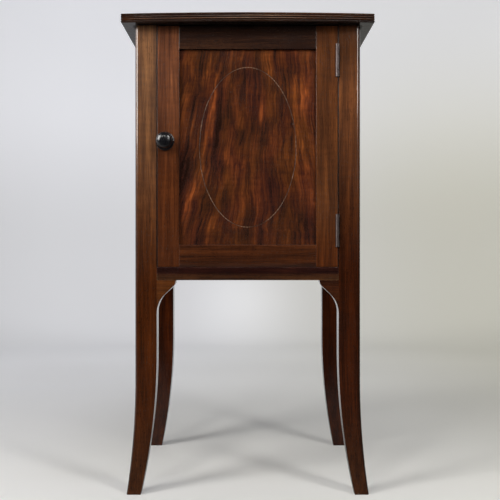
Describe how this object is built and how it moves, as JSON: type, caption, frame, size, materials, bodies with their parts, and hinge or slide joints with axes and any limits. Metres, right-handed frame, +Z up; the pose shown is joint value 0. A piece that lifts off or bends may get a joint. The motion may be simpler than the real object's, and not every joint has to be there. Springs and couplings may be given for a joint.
{
  "type": "bedside pot cupboard",
  "caption": "Bedside cupboard on tall outswept legs, with a bowed reeded top, a framed panel door on butt hinges, a turning knob catch and a loose inner shelf.",
  "frame": {"origin": "on the floor, under the middle of the whole cupboard's bounding box", "axes": "+Z up, -Y towards the front, where the door is, +X to the right seen from the front, where the hinges are"},
  "size_m": [0.392, 0.42, 0.744],
  "materials": {
    "mahogany": "french polish",
    "mahogany_top": "french polish",
    "mahogany_rail": "french polish",
    "mahogany_figured": "french polish",
    "inside_wood": "dry planed",
    "stringing": "french polish",
    "ebonised": "polished black",
    "hinge_metal": "worn",
    "catch_brass": "dull"
  },
  "bodies": {
    "cabinet": {"top_board": "mahogany_top", "front_left_leg": "mahogany", "front_right_leg": "mahogany", "rear_left_leg": "mahogany", "rear_right_leg": "mahogany", "left_side_board": "mahogany", "right_side_board": "mahogany", "front_bottom_rail": "mahogany_rail", "front_head_rail": "inside_wood", "rear_top_rail": "inside_wood", "rear_bottom_rail": "inside_wood", "back_panel": "inside_wood", "bottom_board": "inside_wood", "left_bracket": "mahogany_rail", "right_bracket": "mahogany_rail", "shelf": "inside_wood", "shelf_bearers": "inside_wood", "glue_blocks": "inside_wood", "door_stop": "inside_wood", "upper_hinge_frame_leaf": "hinge_metal", "lower_hinge_frame_leaf": "hinge_metal", "hinge_pins": "hinge_metal", "hinge_frame_screws": "hinge_metal"},
    "door": {"door_lock_stile": "mahogany", "door_hinge_stile": "mahogany", "door_top_rail": "mahogany_rail", "door_bottom_rail": "mahogany_rail", "door_panel": "mahogany_figured", "oval_inlay": "stringing", "upper_hinge_door_leaf": "hinge_metal", "lower_hinge_door_leaf": "hinge_metal", "hinge_door_screws": "hinge_metal"},
    "knob_catch": {"knob": "ebonised", "knob_spindle": "catch_brass", "catch_tongue": "catch_brass"}
  },
  "joints": [
    {"name": "door_hinge", "type": "hinge", "parent": "cabinet", "child": "door", "pos_m": [0.14, -0.183, 0.5], "axis": [0, 0, 1], "range_deg": [0, 170]},
    {"name": "knob_turn", "type": "hinge", "parent": "door", "child": "knob_catch", "pos_m": [-0.129, -0.182, 0.549], "axis": [0, -1, 0], "range_deg": [0, 90]}
  ]
}
